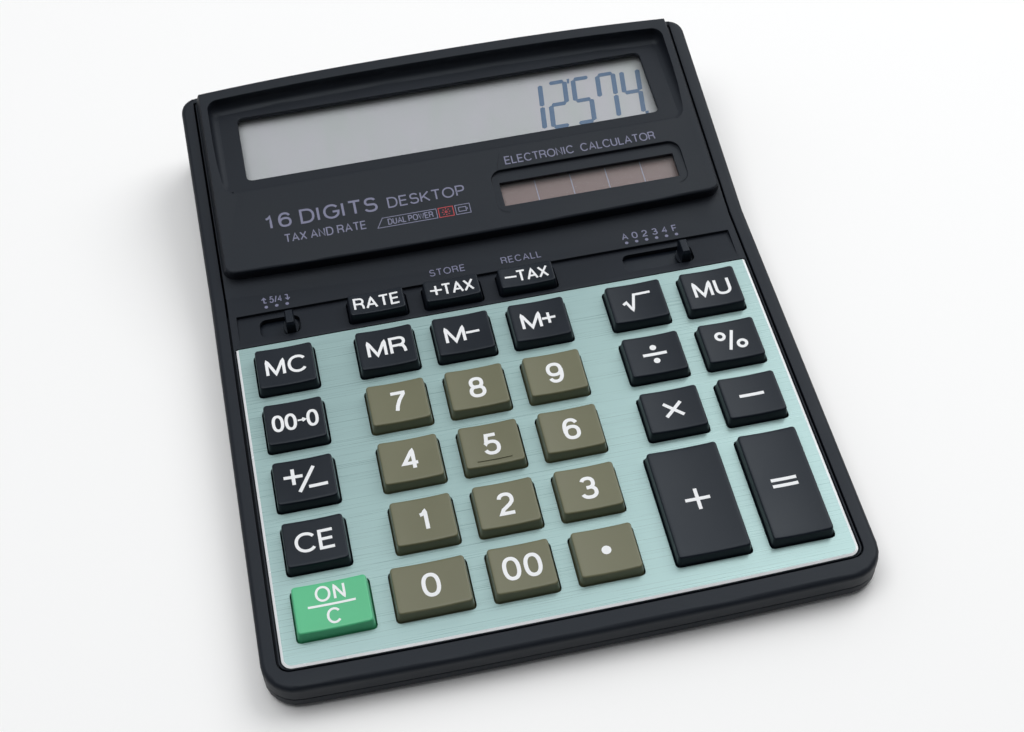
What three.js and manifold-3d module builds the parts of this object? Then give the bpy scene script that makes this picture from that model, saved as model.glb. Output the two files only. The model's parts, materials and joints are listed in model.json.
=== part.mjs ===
// Desktop calculator: a shallow wedge-shaped case with a brushed faceplate, 31 sprung keys,
// two slide switches and a raised display hood.
// Units are millimetres, +Z is up, the origin is on the table under the middle of the case,
// -Y is the user's side. Most pieces are drawn in the "deck" frame: its origin is the middle of
// the faceplate's front edge, its XY plane is the faceplate's top, and it leans by deckTilt.
import * as THREE from 'three';
import { ConvexGeometry } from 'three/addons/geometries/ConvexGeometry.js';
import { mergeVertices } from 'three/addons/utils/BufferGeometryUtils.js';
import Module from 'manifold-3d';

const wasm = await Module();
wasm.setup();

// ---------------------------------------------------------------- driving dimensions
const gap = 0.3;                 // clearance between neighbouring pieces
const deckTilt = THREE.MathUtils.degToRad(1.5);
const deckHeight = 9.5;          // faceplate top above the table, at its front edge
const deckOffset = -96.47;       // faceplate front edge from the middle of the case

const caseWidth = 158;
const rimFront = 6.3;            // case front edge, ahead of the faceplate
const frontCorner = 9;
const backCorner = 5;
const frontBow = 0.8;            // how far the front edge bows out in its middle
const backBow = 2.1;             // and the back edge
const bowPower = 2.5;            // over 2 is flatter in the middle than an arc
const bowSides = 16;
const rimRound = 1.4;
const rimBand = 2;               // thickness of the rim under its top face
const wall = 2;
const partingDepth = 5;          // parting line below the faceplate plane
const frameOpening = 75;         // half width of the opening inside the rim

const hoodStart = 121.7;         // where the case bends up to the display
const hoodSlope = THREE.MathUtils.degToRad(10);
const hoodLength = 73.3;         // from the bend to the rim's back edge, along the slope

const plateHalf = 73.7;
const plateLength = 102.5;
const plateThickness = 0.6;
const plateCorner = 2.7;
const plateEdge = { width: 0.65, height: 0.3 };    // the bright chamfer round the faceplate
const panelHalf = 74.5;
const panelUnder = -2.2;         // underside of the panel below the faceplate plane

const keyOpening = { width: 17.3, depth: 15.1, corner: 1.1 };
const keyExtraWidth = 3.1;       // ON/C, 0 and + are wider than the others by this much
const stripKeyDepth = 9.2;
const columns = [-60.7, -32.6, -10.9, 10.8, 38.9, 60.6];
const rowPitch = 19.3;
const firstRow = 14.4;
const stripLine = 108.9;         // centre line of the tax keys and the slide switches
const keyTop = 3.4;
const stripKeyTop = 3.0;
const keyTravel = 1.2;
const keyDish = 0.35;

const podRise = 3.9;             // display hood above the rim
const podHalf = 74.1;
const podLean = 1.4;             // how far each side of the hood leans in
const podFront = 5.9;            // along the slope from the bend
const podBack = 71.2;
const podRound = 0.7;
const podFoot = 0.5;             // its sides are upright up to here

const floorThickness = 1.5;
const footHeight = 0.9;
const shelfInset = 0.05;         // the bottom case is this much smaller all round

// ---------------------------------------------------------------- materials
function finish(color, roughness, metalness = 0) {
  return new THREE.MeshStandardMaterial({ color, roughness, metalness });
}
const blackPlastic = finish(0x2c2e33, 0.55);
const blackKey = finish(0x2a2c32, 0.42);
const oliveKey = finish(0x746c53, 0.45);
const greenKey = finish(0x52c492, 0.4);
const brushedPlate = finish(0xa9cbc6, 0.35, 0.8);
const clearLens = finish(0xc9d2d0, 0.1);
const lcdFace = finish(0xa9b1ae, 0.25);
const foil = finish(0xc4c8c4, 0.5, 0.4);
const solarGlass = finish(0x8a7370, 0.25);
const rubber = finish(0x3a3a3c, 0.85);
const keypadRubber = finish(0xb9bcb8, 0.8);
const boardGreen = finish(0x2f6b42, 0.5);
const epoxy = finish(0x161616, 0.35);
const ribbon = finish(0xd8d4c4, 0.6);
const springSteel = finish(0xb8bcc0, 0.3, 0.9);
const screwSteel = finish(0x8d9094, 0.35, 0.9);

// ---------------------------------------------------------------- frames
function frameAt(x, y, z, tilt) {
  return new THREE.Matrix4().makeTranslation(x, y, z).multiply(new THREE.Matrix4().makeRotationX(tilt));
}
const deckFrame = frameAt(0, deckOffset, deckHeight, deckTilt);
const hoodFrame = frameAt(0, hoodStart, 0, hoodSlope);
const bisector = frameAt(0, hoodStart, 0, hoodSlope / 2);

// ---------------------------------------------------------------- solid helpers
const far = 400;                 // beyond the part in every direction

function solid(geometry, frame) {
  if (frame) geometry.applyMatrix4(frame);
  geometry.deleteAttribute('normal');
  geometry.deleteAttribute('uv');
  const merged = mergeVertices(geometry, 1e-4);
  return new wasm.Manifold(new wasm.Mesh({
    numProp: 3,
    vertProperties: new Float32Array(merged.attributes.position.array),
    triVerts: new Uint32Array(merged.index.array),
  }));
}

function geometryOf(manifold) {
  const mesh = manifold.getMesh();
  const geometry = new THREE.BufferGeometry();
  geometry.setAttribute('position', new THREE.BufferAttribute(new Float32Array(mesh.vertProperties), 3));
  geometry.setIndex(new THREE.BufferAttribute(new Uint32Array(mesh.triVerts), 1));
  geometry.computeVertexNormals();
  return geometry;
}

function block(x0, x1, y0, y1, z0, z1, frame) {
  const geometry = new THREE.BoxGeometry(x1 - x0, y1 - y0, z1 - z0);
  geometry.translate((x0 + x1) / 2, (y0 + y1) / 2, (z0 + z1) / 2);
  return solid(geometry, frame);
}

// A cylinder along Z.
function rod(x, y, radius, z0, z1, { frame, sides = 16, topRadius = radius } = {}) {
  const geometry = new THREE.CylinderGeometry(topRadius, radius, z1 - z0, sides);
  geometry.rotateX(Math.PI / 2);
  geometry.translate(x, y, (z0 + z1) / 2);
  return solid(geometry, frame);
}

// A nearly straight side from x0 to x1 at y, whose middle is bowed out by bow.
function bowTo(shape, x0, x1, y, bow) {
  for (let i = 1; i <= bowSides; i++) {
    const across = 2 * i / bowSides - 1;
    shape.lineTo(x0 + (x1 - x0) * i / bowSides, y + bow * (1 - Math.abs(across) ** bowPower));
  }
}

// A rounded rectangle with its own front and back corner radii, and bowed front and back edges.
function outline(x0, x1, y0, y1, { front, back = front, bowFront = 0, bowBack = 0 }) {
  const shape = new THREE.Shape();
  shape.moveTo(x0 + front, y0);
  if (bowFront) bowTo(shape, x0 + front, x1 - front, y0, -bowFront);
  else shape.lineTo(x1 - front, y0);
  shape.absarc(x1 - front, y0 + front, front, -Math.PI / 2, 0);
  shape.lineTo(x1, y1 - back);
  shape.absarc(x1 - back, y1 - back, back, 0, Math.PI / 2);
  if (bowBack) bowTo(shape, x1 - back, x0 + back, y1, bowBack);
  else shape.lineTo(x0 + back, y1);
  shape.absarc(x0 + back, y1 - back, back, Math.PI / 2, Math.PI);
  shape.lineTo(x0, y0 + front);
  shape.absarc(x0 + front, y0 + front, front, Math.PI, Math.PI * 1.5);
  return shape;
}

// A shape raised from z0 to z1, with its top edge rounded where round is given. An arc gets twice
// as many sides as segments says.
function prism(shape, z0, z1, { frame, round = 0, roundHeight = round, steps = 3, segments = 3 } = {}) {
  const geometry = new THREE.ExtrudeGeometry(shape, {
    depth: z1 - z0 - roundHeight,
    curveSegments: segments,
    bevelEnabled: round > 0,
    bevelSize: round,
    bevelThickness: roundHeight,
    bevelOffset: -round,
    bevelSegments: steps,
  });
  geometry.translate(0, 0, z0);
  const body = solid(geometry, frame);
  return round > 0 ? body.subtract(block(-far, far, -far, far, z0 - 2 * roundHeight, z0, frame)) : body;
}

// The space of a shallow bowl with a flat floor at z0, and walls that curve up from it.
function bowl(shape, z0, fillet, frame) {
  const geometry = new THREE.ExtrudeGeometry(shape, {
    depth: 12,
    curveSegments: 4,
    bevelSize: fillet,
    bevelThickness: fillet,
    bevelOffset: -fillet,
    bevelSegments: 4,
  });
  geometry.translate(0, 0, z0 + fillet);
  return solid(geometry, frame);
}

// A key-sized opening centred on x, y, straight through from z0 to z1.
function slotThrough(x, y, width, depth, corner, z0, z1) {
  const shape = outline(x - width / 2, x + width / 2, y - depth / 2, y + depth / 2, { front: corner });
  return prism(shape, z0, z1, { segments: 1 });
}

// A side profile in (y, z), carried from x0 to x1.
function sideProfile(points, x0, x1) {
  const shape = new THREE.Shape(points.map(([y, z]) => new THREE.Vector2(y, z)));
  const geometry = new THREE.ExtrudeGeometry(shape, { depth: x1 - x0, bevelEnabled: false });
  geometry.translate(0, 0, x0);
  const axes = new THREE.Matrix4().makeBasis(
    new THREE.Vector3(0, 1, 0), new THREE.Vector3(0, 0, 1), new THREE.Vector3(1, 0, 0));
  return solid(geometry, axes);
}

const calculator = new THREE.Group();
const deck = new THREE.Group();
deck.position.set(0, deckOffset, deckHeight);
deck.rotation.x = deckTilt;
calculator.add(deck);

function addPiece(name, manifold, material, group = deck, x = 0, y = 0, z = 0) {
  const mesh = new THREE.Mesh(geometryOf(manifold), material);
  mesh.name = name;
  mesh.position.set(x, y, z);
  group.add(mesh);
}

// ---------------------------------------------------------------- layout of keys and switches
// row 0 is the row nearest the user; rows 0 and 1 of the last two columns are one tall key each.
const keys = [
  { name: 'key_on_c', column: 0, row: 0, material: greenKey, extra: 1 },
  { name: 'key_ce', column: 0, row: 1, material: blackKey },
  { name: 'key_sign', column: 0, row: 2, material: blackKey },
  { name: 'key_backspace', column: 0, row: 3, material: blackKey },
  { name: 'key_mc', column: 0, row: 4, material: blackKey },
  { name: 'key_0', column: 1, row: 0, material: oliveKey, extra: -1 },
  { name: 'key_1', column: 1, row: 1, material: oliveKey },
  { name: 'key_4', column: 1, row: 2, material: oliveKey },
  { name: 'key_7', column: 1, row: 3, material: oliveKey },
  { name: 'key_mr', column: 1, row: 4, material: blackKey },
  { name: 'key_00', column: 2, row: 0, material: oliveKey },
  { name: 'key_2', column: 2, row: 1, material: oliveKey },
  { name: 'key_5', column: 2, row: 2, material: oliveKey, marked: true },
  { name: 'key_8', column: 2, row: 3, material: oliveKey },
  { name: 'key_m_minus', column: 2, row: 4, material: blackKey },
  { name: 'key_point', column: 3, row: 0, material: oliveKey },
  { name: 'key_3', column: 3, row: 1, material: oliveKey },
  { name: 'key_6', column: 3, row: 2, material: oliveKey },
  { name: 'key_9', column: 3, row: 3, material: oliveKey },
  { name: 'key_m_plus', column: 3, row: 4, material: blackKey },
  { name: 'key_plus', column: 4, row: 0, material: blackKey, extra: -1, tall: true },
  { name: 'key_multiply', column: 4, row: 2, material: blackKey },
  { name: 'key_divide', column: 4, row: 3, material: blackKey },
  { name: 'key_root', column: 4, row: 4, material: blackKey },
  { name: 'key_equals', column: 5, row: 0, material: blackKey, tall: true },
  { name: 'key_minus', column: 5, row: 2, material: blackKey },
  { name: 'key_percent', column: 5, row: 3, material: blackKey },
  { name: 'key_mu', column: 5, row: 4, material: blackKey },
  { name: 'key_rate', column: 1, strip: true, material: blackKey },
  { name: 'key_tax_plus', column: 2, strip: true, material: blackKey },
  { name: 'key_tax_minus', column: 3, strip: true, material: blackKey },
];
for (const key of keys) {
  const extra = key.extra ?? 0;
  key.width = keyOpening.width + Math.abs(extra) * keyExtraWidth;
  key.x = columns[key.column] + extra * keyExtraWidth / 2;
  key.depth = key.strip ? stripKeyDepth : keyOpening.depth + (key.tall ? rowPitch : 0);
  key.y = key.strip ? stripLine : firstRow + key.row * rowPitch + (key.tall ? rowPitch / 2 : 0);
  key.top = key.strip ? stripKeyTop : keyTop;
}

const switchPitch = 3;           // distance between two positions of a slide switch
const switches = [
  { name: 'rounding_switch', x: -57.5, positions: 3 },
  { name: 'decimal_switch', x: 57.3, positions: 6 },
];
for (const item of switches) item.travel = (item.positions - 1) * switchPitch;
const knob = { width: 2.6, depth: 5.4, top: 3.8, shoulder: 0.8, taper: [0.35, 0.5], y: stripLine - 0.5 };
const slot = { depth: 7, end: 1.4, corner: 2 };

// ---------------------------------------------------------------- keys
const keyClearance = 0.4;        // key body to the edge of its opening
const keyFlangeTop = panelUnder - gap;
const keyFlange = { out: 0.8, thickness: 0.5 };
const keyWall = 1.2;
const keyRoof = 1.5;
const stemTip = -1.9;
const stemRadius = 1.6;
const keyTaper = 0.3;            // the body is this much narrower just under its top edge
const keyFaceInset = 0.65;       // and its top face this much narrower all round
const keyEdgeDrop = 0.35;
const keyMark = { half: 4.6, back: -4.5, front: -5.1, height: 0.25 };    // the bar on the 5

function keyRing(width, depth, corner, inset, z) {
  const points = [];
  const shape = outline(-width / 2 + inset, width / 2 - inset, -depth / 2 + inset, depth / 2 - inset,
    { front: Math.max(corner - inset * 0.4, 0.3) });
  for (const point of shape.getPoints(1)) points.push(new THREE.Vector3(point.x, point.y, z));
  return points;
}

function keySolid(key) {
  const width = key.width - 2 * keyClearance;
  const depth = key.depth - 2 * keyClearance;
  const corner = keyOpening.corner;
  const rings = [
    keyRing(width, depth, corner, 0, keyFlangeTop - keyFlange.thickness),
    keyRing(width, depth, corner, 0, 0.4),
    keyRing(width, depth, corner, keyTaper, key.top - keyEdgeDrop),
    keyRing(width, depth, corner, keyFaceInset, key.top),
  ].flat();
  let body = solid(new ConvexGeometry(rings));

  // The dish is part of a long cylinder lying front to back above the key.
  const halfFace = width / 2 - keyFaceInset;
  const dishRadius = (halfFace ** 2 + keyDish ** 2) / (2 * keyDish);
  const dishSides = Math.round(Math.PI * dishRadius / 2);
  const dish = new THREE.CylinderGeometry(dishRadius, dishRadius, depth * 2, dishSides);
  dish.applyMatrix4(new THREE.Matrix4().makeTranslation(0, 0, key.top - keyDish + dishRadius));
  body = body.subtract(solid(dish));

  const out = keyFlange.out;
  const flangeBottom = keyFlangeTop - keyFlange.thickness;
  const hollow = block(-width / 2 + keyWall, width / 2 - keyWall, -depth / 2 + keyWall, depth / 2 - keyWall,
    flangeBottom - 1, key.top - keyDish - keyRoof);
  const flange = block(-width / 2 - out, width / 2 + out, -depth / 2 - out, depth / 2 + out,
    flangeBottom, keyFlangeTop);
  const roof = key.top - keyDish - keyRoof;
  const stem = rod(0, 0, stemRadius, stemTip, roof + 0.2, { sides: 8 });
  body = body.add(flange).subtract(hollow).add(stem);
  if (key.marked) {
    const face = key.top - keyDish;
    body = body.add(block(-keyMark.half, keyMark.half, keyMark.front, keyMark.back,
      face - keyMark.height, face + keyMark.height));
  }
  return body;
}

for (const key of keys) addPiece(key.name, keySolid(key), key.material, deck, key.x, key.y);

// ---------------------------------------------------------------- slide switches
// A flat carrier under the panel keeps the slot closed wherever the knob stands. The knob rises from
// an oval pad that slides inside the slot.
const carrier = { half: 4.6, lap: 0.3, right: 4, thickness: 0.9 };
const wiper = { halfWidth: 3, halfDepth: 2, bottom: -5.1 };
const pad = { halfWidth: 2.2, halfDepth: 3.1, top: -1.3, sides: 20 };

function switchSolid(item) {
  const half = knob.width / 2;
  const back = knob.depth / 2;
  const shift = knob.y - stripLine;
  const post = solid(new ConvexGeometry([
    ...[-1, 1].flatMap((sx) => [-1, 1].flatMap((sy) => [
      new THREE.Vector3(sx * half, shift + sy * back, keyFlangeTop - 0.2),
      new THREE.Vector3(sx * half, shift + sy * back, knob.top - knob.shoulder),
      new THREE.Vector3(sx * (half - knob.taper[0]), shift + sy * (back - knob.taper[1]), knob.top),
    ])),
  ]));
  const tail = item.travel + half + slot.end + carrier.lap;
  const under = keyFlangeTop - carrier.thickness;
  const plate = block(-tail, carrier.right, -carrier.half, carrier.half, under, keyFlangeTop);
  const brush = block(-wiper.halfWidth, wiper.halfWidth, -wiper.halfDepth, wiper.halfDepth,
    wiper.bottom, under + 0.1);
  const base = new THREE.CylinderGeometry(1, 1, pad.top - under, pad.sides);
  base.rotateX(Math.PI / 2);
  base.scale(pad.halfWidth, pad.halfDepth, 1);
  base.translate(0, 0, (pad.top + under) / 2);
  return post.add(plate).add(brush).add(solid(base));
}

for (const item of switches) addPiece(item.name, switchSolid(item), blackKey, deck, item.x, stripLine);

function switchSlot(item, grow, z0, z1) {
  const left = item.x - item.travel - knob.width / 2 - slot.end - grow;
  const right = item.x + knob.width / 2 + slot.end + grow;
  const shape = outline(left, right, stripLine - slot.depth / 2 - grow, stripLine + slot.depth / 2 + grow,
    { front: slot.corner });
  return prism(shape, z0, z1, { segments: 3 });
}

// ---------------------------------------------------------------- case body used by both shells
const seam = 0.01;               // the two halves of a bent piece run into each other by this much
const frontHalfSpace = block(-far, far, -far, seam, -far, far, bisector);
const rearHalfSpace = block(-far, far, -seam, far, -far, far, bisector);

// The outside of the case, shrunk by inset all round and lowered by drop.
function caseBody(inset, drop, round) {
  const half = caseWidth / 2 - inset;
  const front = outline(-half, half, frontBow - rimFront + inset, hoodStart + 60,
    { front: frontCorner - inset, bowFront: frontBow });
  const rear = outline(-half, half, -60, hoodLength - inset,
    { front: frontCorner - inset, back: Math.max(backCorner - inset, 1), bowBack: backBow });
  const low = prism(front, -40, -drop, { round }).intersect(frontHalfSpace);
  const high = prism(rear, -60, -drop, { round, frame: hoodFrame }).intersect(rearHalfSpace);
  return low.add(high);
}

// ---------------------------------------------------------------- top case
const belowParting = block(-far, far, -far, far, -far, -partingDepth);
const openingFront = rimFront - 5.4;
const openingBack = hoodStart + (hoodLength - wall) * Math.cos(hoodSlope);
const openingShape = outline(-frameOpening, frameOpening, frontBow - openingFront, openingBack,
  { front: 3.5, back: 0.5, bowFront: frontBow, bowBack: backBow });
const panelOpening = prism(openingShape, -far / 2, far / 2);
const podSeat = block(-frameOpening, frameOpening, 55, far / 2, -gap, far / 4, hoodFrame);
const topCase = caseBody(0, 0, rimRound)
  .subtract(caseBody(wall, rimBand, 0))
  .subtract(belowParting)
  .subtract(panelOpening)
  .subtract(podSeat);
addPiece('top_case', topCase, blackPlastic);

// ---------------------------------------------------------------- display and solar places
const recess = { half: 70.9, front: 151.6, back: 188.1, corner: 5.2, backCorner: 3.4, fillet: 2.6 };
const recessSlope = THREE.MathUtils.degToRad(2.94);
const recessHeight = 10.2;       // height of the recess floor over the faceplate plane, at its middle
const recessMiddle = (recess.front + recess.back) / 2;
const windowFrame = frameAt(0, recessMiddle, recessHeight, recessSlope);
const displayOpening = { half: 62.8, front: -12.2, back: 13.4, corner: 1.8 };
const tub = 1.5;                 // thickness of the recess floor
const displayBay = { front: -20.5, back: 16.6, bottom: -14 };    // hollow under the recess floor

const solar = { left: 9.9, right: 62.7, front: 12.7, back: 21.3 };
const solarRecess = { left: 7.7, right: 65.3, front: 10.2, back: 25.3, corner: 3.5 };
const solarFall = THREE.MathUtils.degToRad(-4);
const solarFrame = hoodFrame.clone().multiply(frameAt(0, solarRecess.front, podRise, solarFall));
const solarRoof = 0.9;
const solarRebate = 1.5;         // the pocket behind the window is this much wider all round

// ---------------------------------------------------------------- front panel
// seat is where the screw head bears on the bottom case, tip is where the screw ends.
const bosses = [
  { name: 'screw_front_left', x: -46.7, y: 34, seat: -8, tip: -2 },
  { name: 'screw_front_right', x: 23, y: 34, seat: -8, tip: -2 },
  { name: 'screw_rear_left', x: -68.8, y: 183, seat: -10.6, tip: -1 },
  { name: 'screw_rear_right', x: 68.8, y: 183, seat: -10.6, tip: -1 },
];
const boss = { radius: 2.4, hole: 1.15, bottom: -6.6 };

// The floor of the strip falls towards the display, to a step at its back.
const strip = { half: 72.3, front: plateLength + 1.2, back: 114.5, fall: 1.05 };
function stripWedge() {
  const high = 5;
  const points = [[strip.front - 0.5, 0.01], [strip.front, 0], [strip.back, -strip.fall],
    [strip.back, high], [strip.front - 0.5, high]];
  return sideProfile(points, -strip.half, strip.half);
}

function podSolid() {
  const shape = outline(-podHalf, podHalf, podFront, podBack,
    { front: 4.2, back: 1.5, bowFront: 1, bowBack: backBow });
  let pod = prism(shape, -seam, podRise, { frame: hoodFrame, round: podRound, steps: 2 });
  // The sides of the hood lean in.
  for (const side of [-1, 1]) {
    const slope = new THREE.Shape();
    slope.moveTo(side * (podHalf + 2), podFoot);
    slope.lineTo(side * podHalf, podFoot);
    slope.lineTo(side * (podHalf - podLean), podRise + podFoot);
    slope.lineTo(side * (podHalf + 2), podRise + podFoot);
    const geometry = new THREE.ExtrudeGeometry(slope, { depth: 2 * podBack, bevelEnabled: false });
    geometry.rotateX(Math.PI / 2);
    geometry.translate(0, 1.5 * podBack, 0);
    pod = pod.subtract(solid(geometry, hoodFrame));
  }
  return pod;
}

// A deeper border runs round the keyboard, with a flange that the rim of the top case covers.
const border = { half: 73.1, front: 1.2, back: hoodStart - 6, end: hoodStart - 3.5, bottom: -3.3 };
const flangeOut = 2;
const underHood = { front: podFront + 2, back: 29, bottom: -6, top: 1.2, side: podHalf - 2 };
const boardRib = { x: 68, half: 0.8, front: -10, back: 9, bottom: -8.6 };

function frontPanel() {
  const front = frontBow - openingFront + gap;
  const deckShape = outline(-panelHalf, panelHalf, front, hoodStart + 20, { front: 3, bowFront: frontBow });
  const flangeShape = outline(-panelHalf - flangeOut, panelHalf + flangeOut, front - flangeOut, border.end,
    { front: 5, bowFront: frontBow });
  const inner = block(-border.half, border.half, border.front, border.back, -far / 2, panelUnder);
  const deckSlab = prism(deckShape, panelUnder, 0).intersect(frontHalfSpace);
  const edge = prism(deckShape, border.bottom, 0).intersect(block(-far, far, -far, border.end, -far, far));
  const flange = prism(flangeShape, border.bottom, -rimBand - gap);
  const slabShape = outline(-panelHalf, panelHalf, -10, hoodLength - wall - gap - 0.4,
    { front: 1, back: 0.6, bowBack: backBow });
  const hoodSlab = prism(slabShape, panelUnder, 0, { frame: hoodFrame }).intersect(rearHalfSpace);
  let panel = deckSlab.add(edge).add(flange).subtract(inner).add(hoodSlab).add(podSolid());

  // Room for the faceplate, the strip with the tax keys, and every key and switch.
  const recessShape = outline(-plateHalf - gap, plateHalf + gap, frontBow - gap, plateLength + gap,
    { front: plateCorner + 0.1, back: 0.8, bowFront: frontBow });
  panel = panel.subtract(prism(recessShape, -plateThickness - gap, 5));
  panel = panel.subtract(stripWedge());
  for (const key of keys) {
    panel = panel.subtract(slotThrough(key.x, key.y, key.width, key.depth, keyOpening.corner, -4, 4));
  }
  for (const item of switches) panel = panel.subtract(switchSlot(item, 0, -4, 4));

  // Hollow under the hood, then the display recess with its window.
  panel = panel.subtract(block(-underHood.side, underHood.side, underHood.front, underHood.back,
    underHood.bottom, underHood.top, hoodFrame));
  panel = panel.subtract(block(-recess.half, recess.half, displayBay.front, displayBay.back,
    displayBay.bottom, -tub, windowFrame));
  const recessRim = outline(-recess.half, recess.half,
    recess.front - recessMiddle, recess.back - recessMiddle,
    { front: recess.corner, back: recess.backCorner, bowBack: backBow * 0.8 });
  panel = panel.subtract(bowl(recessRim, 0, recess.fillet, windowFrame));
  const opening = outline(-displayOpening.half, displayOpening.half,
    displayOpening.front, displayOpening.back,
    { front: displayOpening.corner });
  panel = panel.subtract(prism(opening, -5, 5, { frame: windowFrame, segments: 3 }));

  // The solar recess, its window and the pocket behind it.
  const solarRim = outline(solarRecess.left, solarRecess.right, 0, solarRecess.back - solarRecess.front,
    { front: solarRecess.corner });
  panel = panel.subtract(prism(solarRim, 0, 6, { frame: solarFrame, segments: 4 }));
  const start = solar.front - solarRecess.front;
  const end = solar.back - solarRecess.front;
  panel = panel.subtract(block(solar.left, solar.right, start, end, -6, 2, solarFrame));
  const out = solarRebate;
  panel = panel.subtract(block(solar.left - out, solar.right + out, start - out, end + out, -6, -solarRoof,
    solarFrame));

  // Ribs that hold the display board, and the screw bosses.
  for (const side of [-1, 1]) {
    const x = side * boardRib.x;
    panel = panel.add(block(x - boardRib.half, x + boardRib.half, boardRib.front, boardRib.back,
      boardRib.bottom, -tub + 0.2, windowFrame));
  }
  for (const place of bosses) {
    const high = place.y > hoodStart;
    const top = high ? recessHeight - 0.9 : panelUnder + 0.1;
    panel = panel.add(rod(place.x, place.y, boss.radius, boss.bottom, top, { sides: 12 }));
    panel = panel.subtract(rod(place.x, place.y, boss.hole, boss.bottom - 1, high ? 2 : -1.4, { sides: 10 }));
  }
  return panel;
}
addPiece('front_panel', frontPanel(), blackPlastic);

// ---------------------------------------------------------------- faceplate
function faceplate() {
  const beyond = 2 * plateEdge.width;
  const shape = outline(-plateHalf, plateHalf, frontBow, plateLength + beyond,
    { front: plateCorner, back: 0.8, bowFront: frontBow });
  let plate = prism(shape, -plateThickness, 0,
    { round: plateEdge.width, roundHeight: plateEdge.height, steps: 1, segments: 5 });
  plate = plate.subtract(block(-far, far, plateLength, plateLength + far, -far, far));
  for (const key of keys.filter((item) => !item.strip)) {
    plate = plate.subtract(slotThrough(key.x, key.y, key.width, key.depth, keyOpening.corner, -4, 4));
  }
  return plate;
}
addPiece('faceplate', faceplate(), brushedPlate);

// ---------------------------------------------------------------- display and solar pieces
const hood = new THREE.Group();
hood.position.set(0, hoodStart, 0);
hood.rotation.x = hoodSlope;
deck.add(hood);
const displayGroup = new THREE.Group();
displayGroup.position.set(0, recessMiddle, recessHeight);
displayGroup.rotation.x = recessSlope;
deck.add(displayGroup);
const solarGroup = new THREE.Group();
solarGroup.position.set(0, solarRecess.front, podRise);
solarGroup.rotation.x = solarFall;
hood.add(solarGroup);

// Flat pieces stacked under the display opening, from the top down. Each is half wide either side,
// and runs from front to back.
const lensTop = -tub - gap;
const lensThickness = 1.2;
const glassTop = lensTop - lensThickness - gap;
const glassThickness = 2.2;
const glassUnder = glassTop - glassThickness;
const boardTopUnderGlass = -8.9;
const displayStack = [
  { name: 'display_window', half: 65.4, front: -15.2, back: 15.8, top: lensTop, thickness: lensThickness,
    material: clearLens },
  { name: 'lcd_glass', half: 65, front: -14.6, back: 15.2, top: glassTop, thickness: glassThickness,
    material: lcdFace },
  { name: 'lcd_reflector', half: 63.5, front: -11.4, back: 14.2, top: glassUnder - gap, thickness: 0.3,
    material: foil },
  { name: 'zebra_strip', half: 62, front: -14.2, back: -12.2, top: glassUnder - gap,
    thickness: glassUnder - 2 * gap - boardTopUnderGlass, material: rubber },
  { name: 'display_board', half: 66.8, front: -15, back: 10, top: boardTopUnderGlass, thickness: 1,
    material: boardGreen },
];
for (const { name, half, front, back, top, thickness, material } of displayStack) {
  addPiece(name, block(-half, half, front, back, top - thickness, top), material, displayGroup);
}

function solarPiece(name, out, bottom, top, material) {
  const front = solar.front - solarRecess.front - out;
  const back = solar.back - solarRecess.front + out;
  addPiece(name, block(solar.left - out, solar.right + out, front, back, bottom, top), material, solarGroup);
}
const solarWindow = { out: 1.2, top: -solarRoof - gap, bottom: -2 };
const solarCell = { out: 1, top: solarWindow.bottom - gap, bottom: -3.4 };
solarPiece('solar_window', solarWindow.out, solarWindow.bottom, solarWindow.top, clearLens);
solarPiece('solar_cell', solarCell.out, solarCell.bottom, solarCell.top, solarGlass);

// ---------------------------------------------------------------- keypad and circuit board
const sheetTop = -4.6;
const sheetThickness = 0.6;
const sheetMain = { left: -69.5, right: 69.5, front: 5, back: 101 };
const sheetStrip = { left: -43, right: 22, front: 100, back: 114 };    // under the tax keys
const dome = { radius: 3.1, tipRadius: 2.1, tip: stemTip - keyTravel - gap };
const boardTop = -5.5;
const boardThickness = 0.8;
const boardSize = { half: 70.5, front: 3, back: 116 };
const chipSize = { y: 84, radius: 7, thickness: 1.2 };

function keypad() {
  const sheetUnder = sheetTop - sheetThickness;
  let sheet = block(sheetMain.left, sheetMain.right, sheetMain.front, sheetMain.back, sheetUnder, sheetTop)
    .add(block(sheetStrip.left, sheetStrip.right, sheetStrip.front, sheetStrip.back, sheetUnder, sheetTop));
  for (const key of keys) {
    sheet = sheet.add(rod(key.x, key.y, dome.radius, sheetTop - 0.1, dome.tip,
      { sides: 10, topRadius: dome.tipRadius }));
  }
  for (const place of bosses.slice(0, 2)) {
    sheet = sheet.subtract(rod(place.x, place.y, boss.radius + 0.6, -9, 0, { sides: 12 }));
  }
  return sheet;
}
addPiece('rubber_keypad', keypad(), keypadRubber);

function mainBoard() {
  let board = block(-boardSize.half, boardSize.half, boardSize.front, boardSize.back,
    boardTop - boardThickness, boardTop);
  for (const place of bosses.slice(0, 2)) {
    board = board.subtract(rod(place.x, place.y, boss.radius + 0.6, -9, 0, { sides: 12 }));
  }
  return board;
}
addPiece('circuit_board', mainBoard(), boardGreen);
const chipTop = boardTop - boardThickness - gap;
const chip = rod(0, chipSize.y, chipSize.radius, chipTop - chipSize.thickness, chipTop, { sides: 20 });
addPiece('chip', chip, epoxy);

// The flat ribbon rises from behind the keyboard board to under the display board.
const ribbonSize = { left: 2, right: 32, halfThickness: 0.1 };
const ribbonRoute = [[112, -6.8], [118.5, -6.8], [127, -4.5], [134, -2.4], [142, -1.5], [160, -0.9]];
function ribbonCable() {
  const under = ribbonRoute.map(([y, z]) => [y, z - ribbonSize.halfThickness]);
  const over = ribbonRoute.map(([y, z]) => [y, z + ribbonSize.halfThickness]).reverse();
  return sideProfile([...under, ...over], ribbonSize.left, ribbonSize.right);
}
addPiece('ribbon_cable', ribbonCable(), ribbon);

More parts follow.
